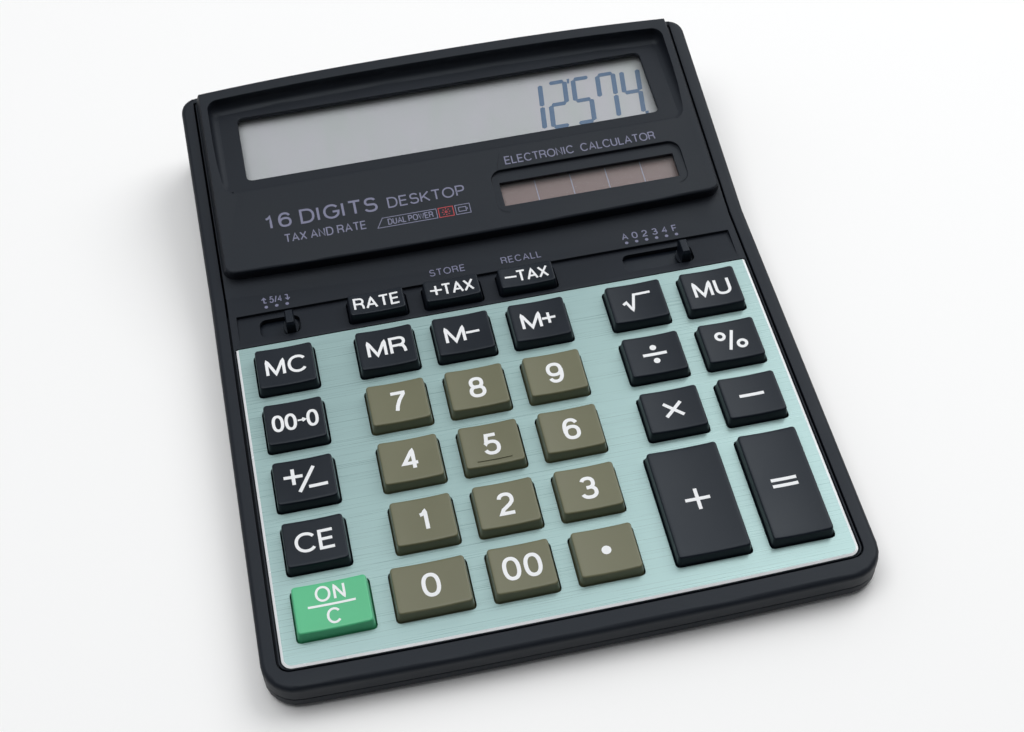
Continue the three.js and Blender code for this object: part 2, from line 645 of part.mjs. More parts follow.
// ---------------------------------------------------------------- bottom case, in the table's frame
const partingTop = block(-far, far, -far, far, -partingDepth - gap, far, deckFrame);
const shellHalf = caseWidth / 2 - shelfInset;
const shellFront = deckOffset - rimFront + frontBow + shelfInset + 0.15;
const shellBack = 99.6;
const shellRound = 1;
const lip = { rise: 1.2, thickness: 1.3 };    // the lip stands inside the top case
const floorTop = footHeight + floorThickness;

function shellOutline(inset) {
  return outline(-shellHalf + inset, shellHalf - inset, shellFront + inset, shellBack - inset,
    { front: frontCorner - inset, back: Math.max(backCorner - inset, 1.5), bowFront: frontBow, bowBack: backBow });
}

const foot = { radius: 5, height: 1.2 };
const postHole = { outside: 3.4, shank: 1.2, head: 2.5 };    // radii of a screw post and its bores
const feet = [
  { name: 'foot_front_left', x: -62, y: -82 },
  { name: 'foot_front_right', x: 62, y: -82 },
  { name: 'foot_rear_left', x: -62, y: 82 },
  { name: 'foot_rear_right', x: 62, y: 82 },
];

const cellPlace = { x: -36, y: 53 };
const compartment = { half: 9, front: -10, back: 10, height: 9.4, wall: 3.8, roof: 1.2 };
const door = { half: 11, front: -12, back: 12, corner: 1 };

function shellSolid() {
  // The bottom edge is rounded, so the body is made upside down and turned over.
  const height = 26;
  const turned = frameAt(0, 0, height + footHeight, Math.PI);
  const mirrored = outline(-shellHalf, shellHalf, -shellBack, -shellFront,
    { front: backCorner, back: frontCorner, bowFront: backBow, bowBack: frontBow });
  let shell = prism(mirrored, 0, height, { round: shellRound, steps: 3, frame: turned }).subtract(partingTop);
  const lipInset = wall + gap - shelfInset;
  const lipShape = shellOutline(lipInset);
  const lipTop = block(-far, far, -far, far, -partingDepth + lip.rise, far, deckFrame);
  shell = shell.add(prism(lipShape, footHeight + 2, 40).subtract(lipTop));
  shell = shell.subtract(prism(shellOutline(lipInset + lip.thickness), floorTop, 60));
  return shell;
}

function bottomCase() {
  let shell = shellSolid();
  const { x, y } = cellPlace;
  const thick = compartment.wall;
  shell = shell.add(block(x - compartment.half - thick, x + compartment.half + thick,
    y + compartment.front - thick, y + compartment.back + thick,
    floorTop - 0.5, footHeight + compartment.height + compartment.roof));
  shell = shell.subtract(block(x - compartment.half, x + compartment.half, y + compartment.front,
    y + compartment.back, 0, footHeight + compartment.height));
  shell = shell.subtract(slotThrough(x, y, 2 * (door.half + gap), door.back - door.front + 2 * gap,
    door.corner, 0, floorTop));
  for (const place of bosses) {
    const post = rod(place.x, place.y, postHole.outside, -16, boss.bottom - gap,
      { frame: deckFrame, sides: 14 });
    shell = shell.add(post.subtract(block(-far, far, -far, far, -far, footHeight + 0.2)));
    shell = shell.subtract(rod(place.x, place.y, postHole.shank, -20, 0,
      { frame: deckFrame, sides: 10 }));
    shell = shell.subtract(rod(place.x, place.y, postHole.head, -20, place.seat,
      { frame: deckFrame, sides: 12 }));
  }
  for (const place of feet) {
    shell = shell.subtract(rod(place.x, place.y, foot.radius + gap, 0, foot.height + gap, { sides: 20 }));
  }
  return shell;
}
addPiece('bottom_case', bottomCase(), blackPlastic, calculator);

for (const place of feet) {
  addPiece(place.name, rod(0, 0, foot.radius, 0, foot.height, { sides: 24, topRadius: foot.radius - 0.2 }),
    rubber, calculator, place.x, place.y);
}

// ---------------------------------------------------------------- screws, driven up from below
const screw = { head: 2.2, headHeight: 1, shank: 0.85, crossLong: 1.3, crossWide: 0.25, crossDepth: 0.5 };

function screwSolid(place) {
  const top = place.seat - gap;
  const head = rod(0, 0, screw.head, top - screw.headHeight, top, { sides: 16 });
  const shank = rod(0, 0, screw.shank, top - 0.2, place.tip, { sides: 10 });
  let body = head.add(shank);
  const under = top - screw.headHeight;
  for (const [x, y] of [[screw.crossLong, screw.crossWide], [screw.crossWide, screw.crossLong]]) {
    body = body.subtract(block(-x, x, -y, y, under - 1, under + screw.crossDepth));
  }
  return body;
}
for (const place of bosses) addPiece(place.name, screwSolid(place), screwSteel, deck, place.x, place.y);

// ---------------------------------------------------------------- battery and its door
const doorThickness = 1.2;
const edgeRound = doorThickness / 2;
const grip = { half: 4, halfWidth: 0.4, depth: 0.35, places: [6.4, 8, 9.6] };

// The door's front edge is a half round, and the door turns about its centre line.
function batteryDoor() {
  const axis = door.front + edgeRound;
  const leaf = block(-door.half, door.half, axis, door.back, -edgeRound, edgeRound);
  const edge = new THREE.CylinderGeometry(edgeRound, edgeRound, 2 * door.half, 16);
  edge.rotateZ(Math.PI / 2);
  edge.translate(0, axis, 0);
  let body = leaf.add(solid(edge));
  for (const y of grip.places) {
    body = body.subtract(block(-grip.half, grip.half, y - grip.halfWidth, y + grip.halfWidth,
      -edgeRound - 1, -edgeRound + grip.depth));
  }
  return body;
}
addPiece('battery_door', batteryDoor(), blackPlastic, calculator,
  cellPlace.x, cellPlace.y, footHeight + edgeRound);

const cell = { x: cellPlace.x - 1.5, radius: 5.8, bottom: 2.7, top: 8.1, capInset: 0.9, capHeight: 0.6 };
function buttonCell() {
  const can = rod(0, 0, cell.radius, cell.bottom + cell.capHeight, cell.top, { sides: 24 });
  return can.add(rod(0, 0, cell.radius - cell.capInset, cell.bottom, cell.bottom + cell.capHeight + 0.1,
    { sides: 24 }));
}
addPiece('button_cell', buttonCell(), springSteel, calculator, cell.x, cellPlace.y);

// Each contact is a leaf of spring strip with a folded tail, near the compartment's roof.
const springStrip = 0.3;
const contactRoof = 9.9;
function positiveContact() {
  const side = cell.radius + gap;
  const leaf = block(side, side + springStrip, -4, 4, 3.2, contactRoof);
  return leaf.add(block(side, side + 4, -4, 4, contactRoof - springStrip, contactRoof));
}
function negativeContact() {
  const over = cell.top + gap;
  const leaf = block(-7.2, 1, -2, 2, over, over + springStrip);
  return leaf.add(block(-7.2, -7.2 + springStrip, -2, 2, over, contactRoof));
}
addPiece('battery_contact_positive', positiveContact(), springSteel, calculator, cell.x, cellPlace.y);
addPiece('battery_contact_negative', negativeContact(), springSteel, calculator, cell.x, cellPlace.y);

export default calculator;
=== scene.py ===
import bmesh
import bpy
import json
import math
from mathutils import Matrix, Vector

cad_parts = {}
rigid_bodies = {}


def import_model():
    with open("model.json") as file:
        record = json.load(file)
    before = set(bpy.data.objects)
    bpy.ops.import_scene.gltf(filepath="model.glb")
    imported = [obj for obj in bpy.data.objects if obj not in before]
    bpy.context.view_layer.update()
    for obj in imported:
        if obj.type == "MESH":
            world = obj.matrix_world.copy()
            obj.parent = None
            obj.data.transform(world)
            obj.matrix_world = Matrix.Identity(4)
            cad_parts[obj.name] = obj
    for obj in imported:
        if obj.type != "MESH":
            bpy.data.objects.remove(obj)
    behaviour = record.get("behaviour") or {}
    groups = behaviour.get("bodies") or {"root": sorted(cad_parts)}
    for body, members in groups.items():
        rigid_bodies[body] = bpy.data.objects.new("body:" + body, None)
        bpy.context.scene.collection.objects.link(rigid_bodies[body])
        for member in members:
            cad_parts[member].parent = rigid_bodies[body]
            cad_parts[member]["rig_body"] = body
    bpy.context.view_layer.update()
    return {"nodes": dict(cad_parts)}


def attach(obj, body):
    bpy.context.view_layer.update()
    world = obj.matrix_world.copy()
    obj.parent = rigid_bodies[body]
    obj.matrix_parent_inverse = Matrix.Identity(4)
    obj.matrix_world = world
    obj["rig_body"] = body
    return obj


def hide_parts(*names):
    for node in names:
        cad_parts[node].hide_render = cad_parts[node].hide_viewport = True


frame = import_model()

# Lengths below are in millimetres in the deck frame, unless a name says otherwise. The deck frame's
# origin is the middle of the faceplate's front edge and its XY plane is the faceplate's top.
MM = 0.001
DECK_TILT = math.radians(1.5)
DECK_ORIGIN = (0.0, -96.47, 9.5)
HOOD_START = 121.7
HOOD_SLOPE = math.radians(10)
POD_RISE = 3.9
RECESS_MIDDLE = 169.85
RECESS_HEIGHT = 10.2
RECESS_SLOPE = math.radians(2.94)
SOLAR_START = 10.2
SOLAR_FALL = math.radians(-4)


def place(x, y, z, tilt=0.0):
    return Matrix.Translation((x, y, z)) @ Matrix.Rotation(tilt, 4, "X")


DECK = place(*DECK_ORIGIN, DECK_TILT)
HOOD = DECK @ place(0, HOOD_START, 0, HOOD_SLOPE)
DISPLAY = DECK @ place(0, RECESS_MIDDLE, RECESS_HEIGHT, RECESS_SLOPE)
SOLAR = HOOD @ place(0, SOLAR_START, POD_RISE, SOLAR_FALL)


def local_box(node, matrix=DECK):
    """The lowest and highest corner of a CAD node in one of the frames above."""
    back = matrix.inverted()
    points = [back @ (v.co / MM) for v in frame["nodes"][node].data.vertices]
    low = Vector([min(p[i] for p in points) for i in range(3)])
    high = Vector([max(p[i] for p in points) for i in range(3)])
    return low, high


# ---------------------------------------------------------------- materials
def new_material(name):
    material = bpy.data.materials.new(name)
    material.use_nodes = True
    tree = material.node_tree
    shader = tree.nodes["Principled BSDF"]
    return material, tree, shader


def add_node(tree, kind, **values):
    node = tree.nodes.new(kind)
    for key, value in values.items():
        if key in node.inputs:
            node.inputs[key].default_value = value
        else:
            setattr(node, key, value)
    return node


def noise_field(tree, scale, stretch=(1, 1, 1), detail=3.0, roughness=0.55):
    """Noise in object coordinates; scale is in features per metre, before the stretch."""
    coords = add_node(tree, "ShaderNodeTexCoord")
    mapping = add_node(tree, "ShaderNodeMapping", Scale=stretch)
    noise = add_node(tree, "ShaderNodeTexNoise", Scale=scale, Detail=detail, Roughness=roughness)
    tree.links.new(coords.outputs["Object"], mapping.inputs["Vector"])
    tree.links.new(mapping.outputs["Vector"], noise.inputs["Vector"])
    return noise.outputs["Fac"]


def span(tree, value, low, high, start=0.3, end=0.7):
    """Maps a field from start..end to low..high."""
    node = add_node(tree, "ShaderNodeMapRange")
    node.inputs["From Min"].default_value = start
    node.inputs["From Max"].default_value = end
    node.inputs["To Min"].default_value = low
    node.inputs["To Max"].default_value = high
    tree.links.new(value, node.inputs["Value"])
    return node.outputs["Result"]


def tint(tree, factor, first, second):
    mix = tree.nodes.new("ShaderNodeMix")
    mix.data_type = "RGBA"
    mix.inputs["A"].default_value = (*first, 1)
    mix.inputs["B"].default_value = (*second, 1)
    tree.links.new(factor, mix.inputs["Factor"])
    return mix.outputs["Result"]


def bump(tree, shader, height, strength, distance):
    node = add_node(tree, "ShaderNodeBump", Strength=strength, Distance=distance)
    tree.links.new(height, node.inputs["Height"])
    tree.links.new(node.outputs["Normal"], shader.inputs["Normal"])


def shade(color, amount):
    return tuple(channel * amount for channel in color)


def moulded(name, color, rough, grain=2600, depth=0.00003, mottle=0.12, metal=0.0, specular=0.5,
            gloss=(1, 1, 1)):
    """Moulded plastic or rubber: a fine erosion grain and a faint, larger unevenness."""
    material, tree, shader = new_material(name)
    fine = noise_field(tree, grain, detail=2)
    broad = noise_field(tree, 45, detail=4)
    factor = span(tree, broad, 0, 1)
    tree.links.new(tint(tree, factor, shade(color, 1 - mottle), shade(color, 1 + mottle)),
                   shader.inputs["Base Color"])
    tree.links.new(span(tree, broad, rough - 0.05, rough + 0.05), shader.inputs["Roughness"])
    shader.inputs["Metallic"].default_value = metal
    shader.inputs["Specular IOR Level"].default_value = specular
    shader.inputs["Specular Tint"].default_value = (*gloss, 1)
    bump(tree, shader, fine, 0.35, depth)
    return material


def brushed(name, color, rough=0.3):
    """Anodised aluminium brushed from side to side."""
    material, tree, shader = new_material(name)
    lines = noise_field(tree, 1.0, stretch=(22, 5200, 40), detail=3, roughness=0.6)
    patches = noise_field(tree, 26, detail=3)
    streak = tint(tree, span(tree, lines, 0, 1, 0.25, 0.75), shade(color, 0.95), shade(color, 1.05))
    mix = tree.nodes.new("ShaderNodeMix")
    mix.data_type = "RGBA"
    mix.blend_type = "MULTIPLY"
    mix.inputs["Factor"].default_value = 1
    tree.links.new(streak, mix.inputs["A"])
    tree.links.new(tint(tree, span(tree, patches, 0, 1), (0.95, 0.95, 0.96), (1, 1, 1)), mix.inputs["B"])
    tree.links.new(mix.outputs["Result"], shader.inputs["Base Color"])
    tree.links.new(span(tree, lines, rough - 0.06, rough + 0.1), shader.inputs["Roughness"])
    shader.inputs["Metallic"].default_value = 0.35
    bump(tree, shader, lines, 0.2, 0.000008)
    return material


def polished(name, color, rough=0.18):
    material, tree, shader = new_material(name)
    lines = noise_field(tree, 900, detail=3)
    tree.links.new(tint(tree, span(tree, lines, 0, 1), shade(color, 0.92), color), shader.inputs["Base Color"])
    tree.links.new(span(tree, lines, rough - 0.04, rough + 0.08), shader.inputs["Roughness"])
    shader.inputs["Metallic"].default_value = 1.0
    return material


def clear_lens(name):
    material, tree, shader = new_material(name)
    smear = noise_field(tree, 60, detail=3)
    tree.links.new(span(tree, smear, 0.1, 0.14), shader.inputs["Roughness"])
    shader.inputs["Base Color"].default_value = (0.9, 0.93, 0.92, 1)
    shader.inputs["Alpha"].default_value = 0.04
    return material


def display_glass(name):
    """Grey-green liquid crystal face with faint vertical unevenness from its reflector."""
    material, tree, shader = new_material(name)
    cloud = noise_field(tree, 120, stretch=(1, 0.25, 1), detail=2)
    fine = noise_field(tree, 3800, detail=1)
    tree.links.new(tint(tree, span(tree, cloud, 0, 1), (0.375, 0.405, 0.405), (0.41, 0.41, 0.445)),
                   shader.inputs["Base Color"])
    tree.links.new(span(tree, fine, 0.3, 0.42), shader.inputs["Roughness"])
    return material


COOL = (0.86, 0.94, 1.0)         # tint of the sheen on the black mouldings
BLACK = moulded("black_plastic", (0.0085, 0.0105, 0.0155), 0.48, grain=1500, depth=0.00006, specular=0.24,
                gloss=COOL)
BLACK_KEY = moulded("black_key_plastic", (0.006, 0.0085, 0.014), 0.34, grain=3200, depth=0.00002,
                    specular=0.26, gloss=COOL)
OLIVE_KEY = moulded("olive_key_plastic", (0.130, 0.130, 0.070), 0.38, grain=3200, depth=0.00002, mottle=0.04)
GREEN_KEY = moulded("green_key_plastic", (0.075, 0.47, 0.22), 0.36, grain=3200, depth=0.00002, mottle=0.04)
PLATE = brushed("brushed_aluminium", (0.315, 0.455, 0.445))
# The faceplate's chamfer is painted near white: a painted highlight along the bevel, which stays bright
# whatever the lamps do.
PLATE_EDGE_HIGHLIGHT = moulded("painted_highlight_edge", (0.9, 0.92, 0.93), 0.3, mottle=0.05, metal=0.25)
LENS = clear_lens("clear_acrylic")
LCD = display_glass("liquid_crystal_face")
SEGMENT = moulded("liquid_crystal_segment", (0.02, 0.085, 0.19), 0.4, mottle=0.04)
SOLAR_CELL = moulded("solar_segment", (0.135, 0.082, 0.078), 0.4, grain=900, depth=0.000004, mottle=0.07)
SOLAR_LINE = moulded("solar_conductor", (0.2, 0.21, 0.3), 0.35)
WHITE_PRINT = moulded("white_legend", (0.82, 0.83, 0.84), 0.45, mottle=0.03)
GREY_PRINT = moulded("grey_print", (0.17, 0.175, 0.27), 0.5, mottle=0.06)
RUBBER = moulded("black_rubber", (0.03, 0.03, 0.031), 0.75, grain=1800, depth=0.00005)
KEYPAD_RUBBER = moulded("silicone_rubber", (0.45, 0.46, 0.44), 0.7)
BOARD = moulded("solder_mask", (0.03, 0.16, 0.07), 0.35, grain=700)
EPOXY = moulded("potting_resin", (0.01, 0.01, 0.01), 0.25)
FILM = moulded("ribbon_film", (0.6, 0.56, 0.46), 0.5)
FOIL = moulded("reflector_foil", (0.6, 0.62, 0.6), 0.45, metal=0.6)
STEEL = polished("plated_steel", (0.62, 0.63, 0.64), 0.26)

# ---------------------------------------------------------------- mesh helpers
def mesh_piece(name, verts, faces, matrix, material, body, nodes=(), smooth=True):
    """A new piece from points in millimetres in the frame that matrix gives."""
    mesh = bpy.data.meshes.new(name)
    mesh.from_pydata([(matrix @ Vector(v)) * MM for v in verts], [], faces)
    tidy = bmesh.new()
    tidy.from_mesh(mesh)
    bmesh.ops.recalc_face_normals(tidy, faces=tidy.faces)
    tidy.to_mesh(mesh)
    tidy.free()
    mesh.materials.append(material)
    for polygon in mesh.polygons:
        polygon.use_smooth = smooth
    piece = bpy.data.objects.new(name, mesh)
    bpy.context.scene.collection.objects.link(piece)
    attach(piece, body)
    if nodes:
        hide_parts(*nodes)
    return piece


def rounded_ring(x0, x1, y0, y1, radius, steps=6, per_side=10):
    """Points round a rectangle with rounded corners, anticlockwise, with per_side parts in each side."""
    points = []
    corners = ((x1, y0, -90), (x1, y1, 0), (x0, y1, 90), (x0, y0, 180))
    for x, y, start in corners:
        cx = x - radius if x == x1 else x + radius
        cy = y + radius if y == y0 else y - radius
        for i in range(steps + 1):
            a = math.radians(start + 90 * i / steps)
            points.append((cx + radius * math.cos(a), cy + radius * math.sin(a)))
    ring = []
    for i, point in enumerate(points):
        ring.append(point)
        if i % (steps + 1) == steps:
            after = points[(i + 1) % len(points)]
            ring += [(point[0] + (after[0] - point[0]) * k / per_side,
                      point[1] + (after[1] - point[1]) * k / per_side) for k in range(1, per_side)]
    return ring


def loft(rings):
    """Vertices and faces of a closed skin through rings of equal length."""
    count = len(rings[0])
    verts = [point for ring in rings for point in ring]
    faces = []
    for level in range(len(rings) - 1):
        for i in range(count):
            j = (i + 1) % count
            a, b = level * count, (level + 1) * count
            faces.append((a + i, a + j, b + j, b + i))
    faces.append(tuple(reversed(range(count))))
    faces.append(tuple(range((len(rings) - 1) * count, len(rings) * count)))
    return verts, faces


def finished(node, material):
    """A CAD node that stays as it is, with a better material."""
    piece = frame["nodes"][node]
    piece.data.materials.clear()
    piece.data.materials.append(material)
    return piece


def skin(node, material, width=0.2, segments=2, angle=31, flat=0.4):
    """A copy of a CAD node with its hard edges rounded by width, which stands for it.

    Faces within flat degrees of each other are merged first. With flat at 0 only level ones are, because
    a face merged round a window tears when its edges are rounded. With width at 0 nothing is merged or
    rounded, and the copy is shaded flat.
    """
    source = frame["nodes"][node]
    shape = bmesh.new()
    shape.from_mesh(source.data)
    bmesh.ops.remove_doubles(shape, verts=shape.verts, dist=0.003 * MM)
    bmesh.ops.dissolve_degenerate(shape, edges=shape.edges, dist=0.003 * MM)
    if width:
        bmesh.ops.dissolve_limit(shape, angle_limit=math.radians(flat), verts=shape.verts, edges=shape.edges)
    for face in shape.faces:
        face.smooth = width > 0
    mesh = bpy.data.meshes.new(node + "_skin")
    shape.to_mesh(mesh)
    shape.free()
    mesh.materials.append(material)
    piece = bpy.data.objects.new(node + "_skin", mesh)
    bpy.context.scene.collection.objects.link(piece)
    if width:
        edge = piece.modifiers.new("soft_edges", "BEVEL")
        edge.width = width * MM
        edge.segments = segments
        edge.limit_method = "ANGLE"
        edge.angle_limit = math.radians(angle)
        edge.use_clamp_overlap = False
        edge.miter_outer = "MITER_ARC"
        normals = piece.modifiers.new("face_normals", "WEIGHTED_NORMAL")
        normals.keep_sharp = True
        normals.weight = 80
    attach(piece, source["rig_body"])
    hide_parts(node)
    return piece


# ---------------------------------------------------------------- lettering
# Each letter is a list of strokes. Heights run from 0 to 1 on the strokes' centre lines.
def oval(cx, cy, rx, ry, start, end, steps=18, power=2.3):
    """Points on a squarish ellipse, from angle start to end in degrees."""
    points = []
    for i in range(steps + 1):
        a = math.radians(start + (end - start) * i / steps)
        c, s = math.cos(a), math.sin(a)
        points.append((cx + rx * math.copysign(abs(c) ** (2 / power), c),
                       cy + ry * math.copysign(abs(s) ** (2 / power), s)))
    return points


LETTERS = {
    " ": (0.3, []),
    "0": (0.64, [oval(0.32, 0.5, 0.32, 0.5, 90, 450, 32)]),
    "1": (0.6, [[(0.1, 0.76), (0.2, 0.78), (0.3, 0.86), (0.35, 1.0), (0.35, 0.0)]]),
    "2": (0.6, [oval(0.3, 0.71, 0.28, 0.29, 170, -20) + [(0.45, 0.45), (0.12, 0.2), (0.02, 0.0), (0.6, 0.0)]]),
    "3": (0.6, [oval(0.29, 0.755, 0.25, 0.245, 160, -90) + [(0.2, 0.51)],
                oval(0.28, 0.265, 0.31, 0.265, 75, -165)]),
    "4": (0.6, [[(0.44, 0.0), (0.44, 1.0), (0.0, 0.29), (0.62, 0.29)]]),
    "5": (0.6, [[(0.55, 1.0), (0.13, 1.0), (0.06, 0.47)] + oval(0.29, 0.32, 0.31, 0.32, 140, -160)]),
    "6": (0.6, [oval(0.31, 0.5, 0.31, 0.5, 35, 180) + [(0.0, 0.3)], oval(0.31, 0.31, 0.29, 0.31, 0, 360, 28)]),
    "7": (0.6, [[(0.02, 1.0), (0.6, 1.0), (0.6, 0.92), (0.38, 0.58), (0.26, 0.28), (0.2, 0.0)]]),
    "8": (0.6, [oval(0.3, 0.755, 0.25, 0.245, 0, 360, 24), oval(0.3, 0.265, 0.3, 0.265, 0, 360, 26)]),
    "9": (0.6, [oval(0.29, 0.5, 0.31, 0.5, 215, 360) + [(0.6, 0.7)], oval(0.29, 0.69, 0.29, 0.31, 0, 360, 28)]),
    "A": (0.76, [[(0.0, 0.0), (0.36, 1.0), (0.72, 0.0)], [(0.11, 0.32), (0.61, 0.32)]]),
    "C": (0.78, [oval(0.4, 0.5, 0.4, 0.5, 38, 322, 30, 2.1)]),
    "D": (0.72, [[(0.0, 0.0), (0.0, 1.0), (0.28, 1.0)] + oval(0.28, 0.5, 0.4, 0.5, 90, -90) + [(0.0, 0.0)]]),
    "E": (0.6, [[(0.56, 0.0), (0.0, 0.0), (0.0, 1.0), (0.55, 1.0)], [(0.0, 0.52), (0.51, 0.52)]]),
    "F": (0.56, [[(0.0, 0.0), (0.0, 1.0), (0.54, 1.0)], [(0.0, 0.5), (0.48, 0.5)]]),
    "G": (0.8, [oval(0.4, 0.5, 0.4, 0.5, 38, 330, 30, 2.1) + [(0.78, 0.47), (0.46, 0.47)]]),
    "I": (0.12, [[(0.0, 0.0), (0.0, 1.0)]]),
    "K": (0.68, [[(0.0, 0.0), (0.0, 1.0)], [(0.62, 1.0), (0.03, 0.38)], [(0.2, 0.56), (0.66, 0.0)]]),
    "L": (0.52, [[(0.0, 1.0), (0.0, 0.0), (0.5, 0.0)]]),
    "M": (0.84, [[(0.0, 0.0), (0.0, 1.0), (0.39, 0.05), (0.78, 1.0), (0.78, 0.0)]]),
    "N": (0.7, [[(0.0, 0.0), (0.0, 1.0), (0.62, 0.0), (0.62, 1.0)]]),
    "O": (0.86, [oval(0.42, 0.5, 0.42, 0.5, 90, 450, 34, 2.1)]),
    "P": (0.64, [[(0.0, 0.0), (0.0, 1.0), (0.34, 1.0)] + oval(0.34, 0.73, 0.26, 0.27, 90, -90)
                 + [(0.0, 0.46)]]),
    "R": (0.7, [[(0.0, 0.0), (0.0, 1.0), (0.36, 1.0)] + oval(0.36, 0.75, 0.26, 0.25, 90, -90) + [(0.0, 0.5)],
                [(0.36, 0.5), (0.55, 0.43), (0.61, 0.25), (0.64, 0.0)]]),
    "S": (0.64, [oval(0.31, 0.745, 0.27, 0.255, 20, 235) + oval(0.31, 0.27, 0.31, 0.27, 60, -165)]),
    "T": (0.66, [[(0.0, 1.0), (0.64, 1.0)], [(0.32, 1.0), (0.32, 0.0)]]),
    "U": (0.7, [[(0.0, 1.0)] + oval(0.31, 0.34, 0.31, 0.34, 180, 360) + [(0.62, 1.0)]]),
    "W": (1.0, [[(0.0, 1.0), (0.24, 0.0), (0.48, 0.95), (0.72, 0.0), (0.96, 1.0)]]),
    "X": (0.66, [[(0.0, 1.0), (0.64, 0.0)], [(0.0, 0.0), (0.64, 1.0)]]),
    "/": (0.3, [[(0.0, -0.03), (0.3, 1.03)]]),
    "+": (0.68, [[(0.0, 0.45), (0.64, 0.45)], [(0.32, 0.13), (0.32, 0.77)]]),
    "-": (0.66, [[(0.0, 0.5), (0.62, 0.5)]]),
}


def stroked_text(text, height, weight=0.17, spacing=0.16, width=None):
    """Strokes of a line of capitals, centred on the origin, and their thickness.

    Height and width are overall.
    """
    scale = height / (1 + weight)
    thick = weight * scale
    pen = 0.0
    strokes = []
    for letter in text:
        advance, lines = LETTERS[letter]
        strokes += [[(pen + x, y - 0.5) for x, y in line] for line in lines]
        pen += advance + spacing + (weight if lines else 0)
    xs = [x for stroke in strokes for x, _ in stroke]
    middle = (min(xs) + max(xs)) / 2
    across = (width - thick) / (max(xs) - min(xs)) if width else scale
    return [[((x - middle) * across, y * scale) for x, y in stroke] for stroke in strokes], thick


def moved(strokes, dx, dy):
    return [[(x + dx, y + dy) for x, y in stroke] for stroke in strokes]


def bar(x, y, half):
    """A level stroke centred on x, y."""
    return [(x - half, y), (x + half, y)]


def dot(x, y, radius):
    """A ring whose stroke, as thick as its radius, fills a round dot."""
    return oval(x, y, radius / 2, radius / 2, 0, 360, 14, 2)


def resampled(stroke, step):
    points = [stroke[0]]
    for (x0, y0), (x1, y1) in zip(stroke, stroke[1:]):
        length = math.hypot(x1 - x0, y1 - y0)
        if length < 1e-6:
            continue
        parts = max(1, math.ceil(length / step))
        for i in range(1, parts + 1):
            points.append((x0 + (x1 - x0) * i / parts, y0 + (y1 - y0) * i / parts))
    return points


def ribbon_sides(points, width, closed):
    """Left and right points of a stroke of constant width, mitred at its corners."""
    count = len(points)
    pairs = []
    for i, (x, y) in enumerate(points):
        before = points[(i - 1) % count] if closed or i > 0 else None
        after = points[(i + 1) % count] if closed or i < count - 1 else None
        normals = []
        for a, b in ((before, (x, y)), ((x, y), after)):
            if a is None or b is None:
                continue
            dx, dy = b[0] - a[0], b[1] - a[1]
            length = math.hypot(dx, dy)
            normals.append((-dy / length, dx / length))
        nx = sum(n[0] for n in normals) / len(normals)
        ny = sum(n[1] for n in normals) / len(normals)
        size = max(nx * nx + ny * ny, 0.22)
        nx, ny = nx / size * width / 2, ny / size * width / 2
        pairs.append(((x + nx, y + ny), (x - nx, y - ny)))
    return pairs


def printed(name, strokes, width, surface, matrix, material, body, rise=0.05, sink=0.08, step=0.7):
    """Lettering as thin raised strokes that follow a surface given as z = surface(x, y).

    Strokes that cross lie at slightly different heights, so that no two faces share a plane.
    """
    verts, faces = [], []
    for order, stroke in enumerate(strokes):
        points = resampled(stroke, step)
        closed = math.dist(points[0], points[-1]) < 1e-4
        if closed:
            points = points[:-1]
        lift = rise + 0.003 * (order % 7)
        base = len(verts)
        pairs = ribbon_sides(points, width, closed)
        for left, right in pairs:
            verts.append((*left, surface(*left) + lift))
            verts.append((*right, surface(*right) + lift))
            verts.append((*right, surface(*right) - sink))
            verts.append((*left, surface(*left) - sink))
        count = len(pairs)
        for i in range(count if closed else count - 1):
            j = (i + 1) % count
            for k in range(4):
                m = (k + 1) % 4
                faces.append((base + 4 * i + k, base + 4 * i + m, base + 4 * j + m, base + 4 * j + k))
        if not closed:
            faces.append((base, base + 3, base + 2, base + 1))
            end = base + 4 * (count - 1)
            faces.append((end, end + 1, end + 2, end + 3))
    return mesh_piece(name, verts, faces, matrix, material, body, smooth=False)


# ---------------------------------------------------------------- keys
FLANGE = 0.8
FLANGE_THICKNESS = 0.5
KEY_CORNER = 1.1
EDGE_ROUND = 0.5
TAPER = 0.35
DISH = 0.35
KEY_WALL = 1.2
KEY_ROOF = 1.5
STEM_RADIUS = 1.6
STEM_TIP = -1.9
FLANGE_TOP = -2.5
KEY_TOP = 3.4
STRIP_KEY_TOP = 3.0
STRIP_KEYS = ("key_rate", "key_tax_plus", "key_tax_minus")


def key_surface(x, y, half, top):
    """Height of a key's dished face: a shallow valley running front to back."""
    return top - DISH + DISH * min(abs(x) / half, 1.15) ** 2


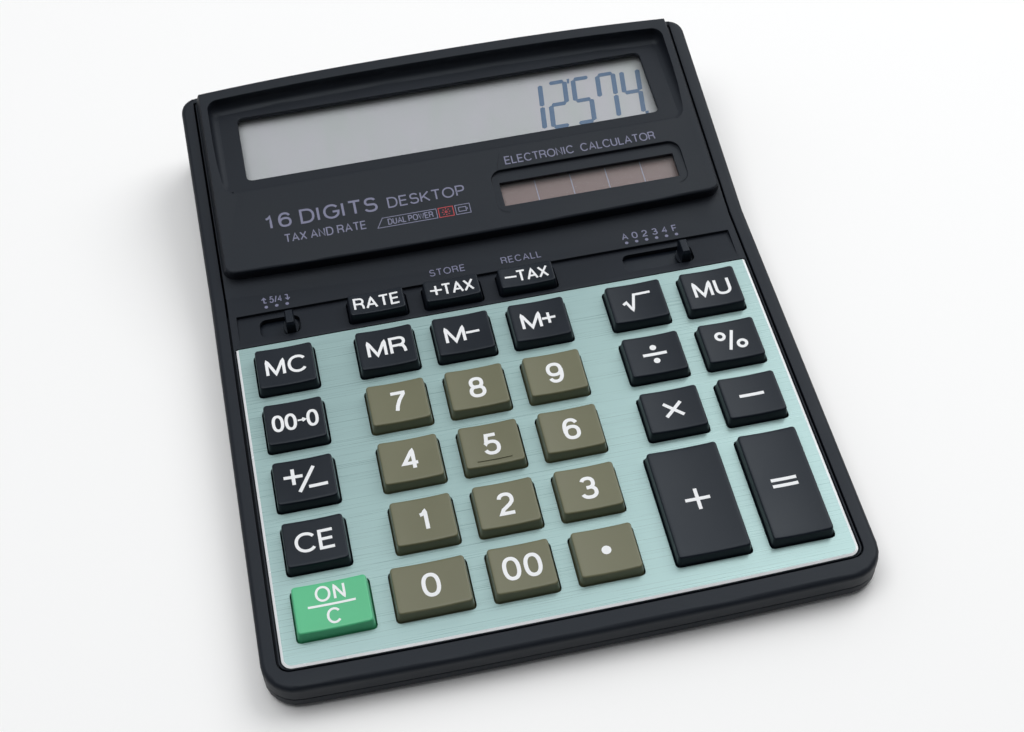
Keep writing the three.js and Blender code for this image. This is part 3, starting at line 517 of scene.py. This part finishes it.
def key_piece(node, material):
    low, high = local_box(node)
    middle = (low + high) / 2
    half_x = (high.x - low.x) / 2 - FLANGE
    half_y = (high.y - low.y) / 2 - FLANGE
    top = STRIP_KEY_TOP if node in STRIP_KEYS else KEY_TOP
    face = half_x - TAPER - EDGE_ROUND
    # Each level is an inset, a height, and whether the height is measured from the dished face.
    levels = [(-FLANGE, FLANGE_TOP - FLANGE_THICKNESS, False), (-FLANGE, FLANGE_TOP, False),
              (0.0, FLANGE_TOP, False), (0.0, 0.2, False), (TAPER * 0.75, top - 1.2, False)]
    for i in range(6):
        a = math.radians(90 * i / 5)
        levels.append((TAPER + EDGE_ROUND * (1 - math.cos(a)), -EDGE_ROUND * (1 - math.sin(a)), True))
    # The underside is hollow round a stem, so that the rubber dome stays clear of a pressed cap.
    ceiling = top - DISH - KEY_ROOF
    rings = []
    for z in (STEM_TIP, ceiling):
        ring = rounded_ring(-STEM_RADIUS, STEM_RADIUS, -STEM_RADIUS, STEM_RADIUS, STEM_RADIUS * 0.99, 5)
        rings.append([(x, y, z) for x, y in ring])
    levels = [(KEY_WALL, ceiling, False), (KEY_WALL, FLANGE_TOP - FLANGE_THICKNESS, False)] + levels
    for inset, z, follows in levels:
        ring = rounded_ring(-half_x + inset, half_x - inset, -half_y + inset, half_y - inset,
                            max(KEY_CORNER - inset * 0.5, 0.35), 5)
        rings.append([(x, y, key_surface(x, y, face, top) + z if follows else z) for x, y in ring])
    rim = rings[-1]
    for shrink in (0.93, 0.84, 0.7, 0.55, 0.4, 0.25, 0.1, 0.02):
        rings.append([(x * shrink, y * shrink, key_surface(x * shrink, y * shrink, face, top))
                      for x, y, _ in rim])
    verts, faces = loft(rings)
    matrix = DECK @ Matrix.Translation((middle.x, middle.y, 0))
    piece = mesh_piece(node + "_cap", verts, faces, matrix, material, node, nodes=[node])
    return {"matrix": matrix, "half": face, "top": top, "depth": half_y, "piece": piece}


OLIVE_KEYS = ("key_0", "key_00", "key_point", "key_1", "key_2", "key_3", "key_4", "key_5", "key_6", "key_7",
              "key_8", "key_9")
KEYS = {}
for node in sorted(frame["nodes"]):
    if not node.startswith("key_"):
        continue
    if node in OLIVE_KEYS:
        KEYS[node] = key_piece(node, OLIVE_KEY)
    elif node == "key_on_c":
        KEYS[node] = key_piece(node, GREEN_KEY)
    else:
        KEYS[node] = key_piece(node, BLACK_KEY)


def on_key(name, node, strokes, width, material=WHITE_PRINT, rise=0.03):
    key = KEYS[node]
    printed(name, strokes, width, lambda x, y: key_surface(x, y, key["half"], key["top"]), key["matrix"],
            material, node, rise=rise)


# Legends in plain capitals: text, height, and overall width where the letters are spread to fit one.
DIGIT_HEIGHT = 6.9
WORDS = {f"key_{digit}": (digit, DIGIT_HEIGHT, None) for digit in "0123456789"}
WORDS |= {
    "key_00": ("00", DIGIT_HEIGHT, 10.1),
    "key_mc": ("MC", 6.0, 11.2), "key_mr": ("MR", 6.0, 11.0), "key_mu": ("MU", 6.0, 10.8),
    "key_ce": ("CE", 6.0, 10.4), "key_rate": ("RATE", 4.3, 13.2),
}
for node, (text, height, width) in WORDS.items():
    capitals = text.isalpha()
    strokes, thick = stroked_text(text, height, 0.165 if capitals else 0.175, 0.04 if capitals else 0.16, width)
    on_key("legend_" + node[4:], node, strokes, thick)


def signed_word(node, text, height, word, sign, thick):
    """A word with a plus or minus beside it. word and sign each give a middle and a width."""
    strokes, weight = stroked_text(text, height, 0.165, 0.0, word[1])
    on_key("legend_" + node[4:], node, moved(strokes, word[0], 0), weight)
    half = sign[1] / 2
    cross = [bar(sign[0], 0, half)]
    if node.endswith("plus"):
        cross.append([(sign[0], -half), (sign[0], half)])
    on_key("legend_" + node[4:] + "_sign", node, cross, thick, rise=0.035)


for node in ("key_m_plus", "key_m_minus"):
    signed_word(node, "M", 6.0, (-2.4, 5.8), (2.6, 3.8), 0.78)
for node in ("key_tax_plus", "key_tax_minus"):
    signed_word(node, "TAX", 4.3, (1.65, 9.3), (-4.6, 3.4), 0.62)

# Signs and the stacked ON over C. Lengths are from the middle of the key.
THICK = 0.95
on_letters, on_thick = stroked_text("ON", 4.5, 0.16)
c_letter, _ = stroked_text("C", 4.5, 0.16)
on_key("legend_on_c", "key_on_c", moved(on_letters, 0, 3.45) + moved(c_letter, 0, -3.2) + [bar(0, 0.15, 6.0)],
       on_thick)
on_key("legend_point", "key_point", [dot(0, 0, 1.25)], 1.25)
on_key("legend_plus", "key_plus", [bar(0, 0, 3.3), [(0, -3.2), (0, 3.2)]], THICK)
on_key("legend_equals", "key_equals", [bar(0, 0.95, 3.4), bar(0, -0.95, 3.4)], THICK)
on_key("legend_minus", "key_minus", [bar(0, 0, 3.4)], THICK)
on_key("legend_multiply", "key_multiply", [[(-2.4, -2.2), (2.4, 2.2)], [(-2.4, 2.2), (2.4, -2.2)]], THICK)
on_key("legend_divide", "key_divide", [bar(0, 0, 3.35)], THICK)
on_key("legend_divide_dots", "key_divide", [dot(0, 2.3, 0.9), dot(0, -2.3, 0.9)], 0.9)
on_key("legend_root", "key_root", [[(-4.1, -0.5), (-3.1, 0.2), (-1.8, -2.9), (-0.4, 2.7), (4.3, 2.7)]], 0.8)
on_key("legend_percent", "key_percent", [oval(-2.7, 1.75, 1.15, 1.15, 0, 360, 20, 2),
                                         oval(2.7, -1.75, 1.15, 1.15, 0, 360, 20, 2),
                                         [(-1.0, -3.3), (1.0, 3.3)]], 0.85)
on_key("legend_sign", "key_sign", [bar(-2.9, 1.3, 2.5), [(-2.9, -1.2), (-2.9, 3.8)],
                                   [(-1.7, -3.7), (2.7, 3.7)], bar(3.3, -2.5, 2.5)], THICK)
on_key("legend_backspace", "key_backspace",
       [oval(x, 0, 1.2, 2.35, 90, 450, 28) for x in (-4.6, -1.15, 4.75)], 0.85)
on_key("legend_backspace_arrow", "key_backspace",
       [bar(1.45, 0, 0.75), [(2.0, -0.55), (2.8, 0), (2.0, 0.55)]], 0.5)
on_key("key_5_bar", "key_5", [bar(0, -4.8, 4.6)], 0.6, OLIVE_KEY, rise=0.25)

# ---------------------------------------------------------------- case, panel and faceplate
skin("top_case", BLACK, 0.18, flat=0)
skin("bottom_case", BLACK, 0.25)
skin("front_panel", BLACK, 0.15, flat=0)
skin("battery_door", BLACK, 0.12)
skin("rounding_switch", BLACK_KEY, 0.1)
skin("decimal_switch", BLACK_KEY, 0.1)

plate = skin("faceplate", PLATE, 0)
# The slanting chamfer faces get the near-white material, a painted highlight along the plate's edge.
plate.data.materials.append(PLATE_EDGE_HIGHLIGHT)
deck_up = DECK.to_3x3() @ Vector((0, 0, 1))
for polygon in plate.data.polygons:
    if 0.5 < polygon.normal.dot(deck_up) < 0.99:
        polygon.material_index = 1

for node in ("foot_front_left", "foot_front_right", "foot_rear_left", "foot_rear_right", "zebra_strip"):
    finished(node, RUBBER)
for node in ("button_cell", "battery_contact_positive", "battery_contact_negative", "screw_front_left",
             "screw_front_right", "screw_rear_left", "screw_rear_right"):
    finished(node, STEEL)
finished("display_window", LENS)
finished("solar_window", LENS)
finished("lcd_glass", LCD)
finished("lcd_reflector", FOIL)
finished("solar_cell", SOLAR_CELL)
finished("rubber_keypad", KEYPAD_RUBBER)
finished("circuit_board", BOARD)
finished("display_board", BOARD)
finished("chip", EPOXY)
finished("ribbon_cable", FILM)

# ---------------------------------------------------------------- liquid crystal digits
GLASS_TOP = local_box("lcd_glass", DISPLAY)[1].z
DIGIT_PITCH = 7.74
DIGIT_LEAN = 0.134
LAST_DIGIT = 57.8                # middle of the last digit, half way up
DIGIT_HALF = (2.5, 9.1)          # to the middle of its outer segments
SEGMENT_WIDTH = 1.5
SEGMENT_GAP = 0.15
SEGMENT_TIP = 0.45
MIDDLE = 0.45                    # the display's own middle line


def segment(x0, y0, x1, y1):
    """A six-sided bar from one point to another."""
    length = math.hypot(x1 - x0, y1 - y0)
    ux, uy = (x1 - x0) / length, (y1 - y0) / length
    half = SEGMENT_WIDTH / 2
    a0, a1 = SEGMENT_GAP, length - SEGMENT_GAP
    tip = SEGMENT_TIP
    along = ((a0, 0), (a0 + tip, -half), (a1 - tip, -half), (a1, 0), (a1 - tip, half), (a0 + tip, half))
    return [(x0 + ux * a - uy * n, y0 + uy * a + ux * n) for a, n in along]


SEGMENTS = {"a": (-1, 1, 1, 1), "b": (1, 0, 1, 1), "c": (1, -1, 1, 0), "d": (-1, -1, 1, -1),
            "e": (-1, -1, -1, 0), "f": (-1, 0, -1, 1), "g": (-1, 0, 1, 0)}
SHOWN = ("bc", "abged", "afgcd", "fabc", "fgbc")


def flat_shapes(name, shapes, matrix, z, rise, material):
    """Thin plates, one for each outline."""
    verts, faces = [], []
    for outline in shapes:
        base, count = len(verts), len(outline)
        verts += [(x, y, z) for x, y in outline] + [(x, y, z + rise) for x, y in outline]
        faces.append(tuple(reversed(range(base, base + count))))
        faces.append(tuple(range(base + count, base + 2 * count)))
        faces += [(base + i, base + (i + 1) % count, base + count + (i + 1) % count, base + count + i)
                  for i in range(count)]
    return mesh_piece(name, verts, faces, matrix, material, "case", smooth=False)


digits = []
for place, lit in enumerate(SHOWN):
    middle = LAST_DIGIT - DIGIT_PITCH * (len(SHOWN) - 1 - place)
    for letter in lit:
        x0, y0, x1, y1 = (end * DIGIT_HALF[i % 2] for i, end in enumerate(SEGMENTS[letter]))
        digits.append([(middle + x + DIGIT_LEAN * y, MIDDLE + y) for x, y in segment(x0, y0, x1, y1)])
POINT = (60.0, -8.8)             # the decimal point after the last digit
digits.append([(POINT[0] + dx, POINT[1] + dy)
               for dx, dy in ((-0.5, -0.5), (0.5, -0.5), (0.6, 0.5), (-0.4, 0.5))])
MARK = (39.5, 9.3)               # the thousands mark
digits.append([(MARK[0] + dx, MARK[1] + dy)
               for dx, dy in ((-0.5, -1.0), (0.1, -1.0), (0.6, 0.9), (-0.3, 0.9))])
flat_shapes("display_digits", digits, DISPLAY, GLASS_TOP + 0.01, 0.04, SEGMENT)

# ---------------------------------------------------------------- solar cell
low, high = local_box("solar_cell", SOLAR)
CELL_PARTS = 5
LINE_HALF = 0.14
CELL_LEFT, CELL_RIGHT = 9.9, 63.6
LINE_MARGIN = 0.3
lines = []
for i in range(1, CELL_PARTS):
    x = CELL_LEFT + (CELL_RIGHT - CELL_LEFT) * i / CELL_PARTS
    lines.append([(x - LINE_HALF, low.y + LINE_MARGIN), (x + LINE_HALF, low.y + LINE_MARGIN),
                  (x + LINE_HALF, high.y - LINE_MARGIN), (x - LINE_HALF, high.y - LINE_MARGIN)])
flat_shapes("solar_conductors", lines, SOLAR, high.z + 0.01, 0.03, SOLAR_LINE)


# ---------------------------------------------------------------- print on the hood and the strip
def on_hood(name, strokes, thick, x, s, material=GREY_PRINT):
    printed(name, moved(strokes, x, s), thick, lambda _x, _y: POD_RISE, HOOD, material, "case",
            rise=0.02, step=4)


# Along the deck: where the strip's floor starts to fall, where it ends, and how far it falls.
STRIP_FRONT, STRIP_BACK, STRIP_FALL = 103.7, 114.5, 1.05


def on_strip(name, strokes, thick, x, y, material=GREY_PRINT):
    """Print on the flat part of the panel behind the strip, or on the strip's falling floor."""
    printed(name, moved(strokes, x, y), thick, strip_surface, DECK, material, "case",
            rise=0.02, step=4)


def strip_surface(_x, y):
    if y > STRIP_BACK:
        return 0.0
    return -STRIP_FALL * max(y - STRIP_FRONT, 0) / (STRIP_BACK - STRIP_FRONT)


on_strip("print_store", *stroked_text("STORE", 2.5, 0.13, width=10.4), -10.7, 118.0)
on_strip("print_recall", *stroked_text("RECALL", 2.5, 0.13, width=11.8), 11.1, 118.0)
for name, first, count in (("rounding", -63.5, 3), ("decimal", 42.3, 6)):
    marks = [dot(3 * i, 0, 0.5) for i in range(count)]
    on_strip(f"print_{name}_dots", marks, 0.5, first, 116.3)
for i, letter in enumerate("A0234F"):
    on_strip(f"print_decimal_{letter.lower()}", *stroked_text(letter, 2.5, 0.17), 42.3 + 3 * i, 118.8)
on_strip("print_rounding_half", *stroked_text("5/4", 2.4, 0.16, width=3.7), -60.5, 118.8)
up_arrow = [[(0, -0.9), (0, 0.9)], [(-0.6, 0.25), (0, 0.95), (0.6, 0.25)], [(0, -0.9), (0.7, -0.9)]]
on_strip("print_rounding_up", up_arrow, 0.34, -63.9, 118.8)
on_strip("print_rounding_down", [[(-x, -y) for x, y in stroke] for stroke in up_arrow], 0.34, -57.1, 118.8)
on_hood("print_title", *stroked_text("ELECTRONIC  CALCULATOR", 2.9, 0.14, 0.06, 46.0), 36.0, 28.3)
on_hood("print_digits", *stroked_text("16 DIGITS", 5.0, 0.16, 0.08, 33.0), -43.2, 21.0)
on_hood("print_kind", *stroked_text("DESKTOP", 3.7, 0.14, 0.08, 23.0), -12.2, 20.6)
on_hood("print_functions", *stroked_text("TAX AND RATE", 2.9, 0.15, 0.06, 24.0), -43.0, 14.5)
on_hood("print_power", *stroked_text("DUAL POWER", 2.1, 0.16, 0.05, 13.4), -18.0, 14.1)
on_hood("print_power_frame", [[(-1.5, 0), (16.2, 0), (16.2, 3.2), (0.3, 3.2), (-1.5, 0)]], 0.22, -26.4, 12.5)
on_hood("print_cell_frame", [[(0, 0), (4.3, 0), (4.3, 3.2), (0, 3.2), (0, 0)]], 0.22, -4.6, 12.5)
on_hood("print_cell", [[(0.9, 0.9), (3.1, 0.9), (3.1, 2.3), (0.9, 2.3), (0.9, 0.9)],
                       [(3.45, 1.3), (3.45, 1.9)]], 0.25, -4.6, 12.5)
RED_PRINT = moulded("red_print", (0.45, 0.03, 0.035), 0.5, mottle=0.06)
on_hood("print_sun_frame", [[(0, 0), (4.3, 0), (4.3, 3.2), (0, 3.2), (0, 0)]], 0.22, -9.6, 12.5, RED_PRINT)
SUN_X, SUN_Y = 2.15, 1.6
sun_rays = [[(SUN_X + r * math.cos(a), SUN_Y + r * math.sin(a)) for r in (0.85, 1.25)]
            for a in (math.radians(45 * i) for i in range(8))]
on_hood("print_sun", sun_rays + [oval(SUN_X, SUN_Y, 0.3, 0.3, 0, 360, 12, 2)], 0.22, -9.6, 12.5, RED_PRINT)

# ---------------------------------------------------------------- stage, light and camera
def area_light(name, location, target, size, power, color=(1, 1, 1)):
    light = bpy.data.lights.new(name, "AREA")
    light.shape = "RECTANGLE"
    light.size, light.size_y = size
    light.energy = power
    light.color = color
    lamp = bpy.data.objects.new(name, light)
    lamp.location = location
    lamp.rotation_euler = (Vector(target) - Vector(location)).to_track_quat("-Z", "Y").to_euler()
    bpy.context.scene.collection.objects.link(lamp)


floor_mesh = bpy.data.meshes.new("floor")
floor_mesh.from_pydata([(-3, -3, 0), (3, -3, 0), (3, 3, 0), (-3, 3, 0)], [], [(0, 1, 2, 3)])
floor = bpy.data.objects.new("floor", floor_mesh)
floor_material, _, floor_shader = new_material("pale_floor")
floor_shader.inputs["Base Color"].default_value = (0.97, 0.965, 0.955, 1)
floor_shader.inputs["Roughness"].default_value = 0.75
floor_mesh.materials.append(floor_material)
bpy.context.scene.collection.objects.link(floor)

# The surroundings are brighter behind the object than in front of it.
world = bpy.data.worlds.new("studio")
world.use_nodes = True
sky = world.node_tree
sky.nodes["Background"].inputs["Color"].default_value = (0.93, 0.96, 1.0, 1)
heading = add_node(sky, "ShaderNodeTexCoord")
parts = add_node(sky, "ShaderNodeSeparateXYZ")
sky.links.new(heading.outputs["Generated"], parts.inputs["Vector"])
sky.links.new(span(sky, parts.outputs["Y"], 0.08, 0.6, -0.7, 0.7), sky.nodes["Background"].inputs["Strength"])
bpy.context.scene.world = world
bpy.context.scene.view_settings.view_transform = "Standard"
area_light("right_window", (0.85, 0.55, 1.15), (0, 0, 0), (1.1, 1.1), 11)
area_light("top_soft", (-0.25, 0.1, 1.2), (0, 0, 0), (0.9, 0.9), 6.5)

CAMERA_TARGET = Vector((0.0002, -0.01727, 0.012))
CAMERA_AZIMUTH = math.radians(-9.73)
CAMERA_ELEVATION = math.radians(50.71)
CAMERA_DISTANCE = 0.4703
CAMERA_ROLL = math.radians(-2.92)
away = Vector((math.sin(CAMERA_AZIMUTH) * math.cos(CAMERA_ELEVATION),
               -math.cos(CAMERA_AZIMUTH) * math.cos(CAMERA_ELEVATION), math.sin(CAMERA_ELEVATION)))
lens = bpy.data.cameras.new("camera")
lens.lens = 60
lens.sensor_width = 36
camera = bpy.data.objects.new("camera", lens)
camera.location = CAMERA_TARGET + away * CAMERA_DISTANCE
level = (-away).to_track_quat("-Z", "Y").to_matrix()
camera.rotation_euler = (level @ Matrix.Rotation(CAMERA_ROLL, 3, "Z")).to_euler()
bpy.context.scene.collection.objects.link(camera)
bpy.context.scene.camera = camera
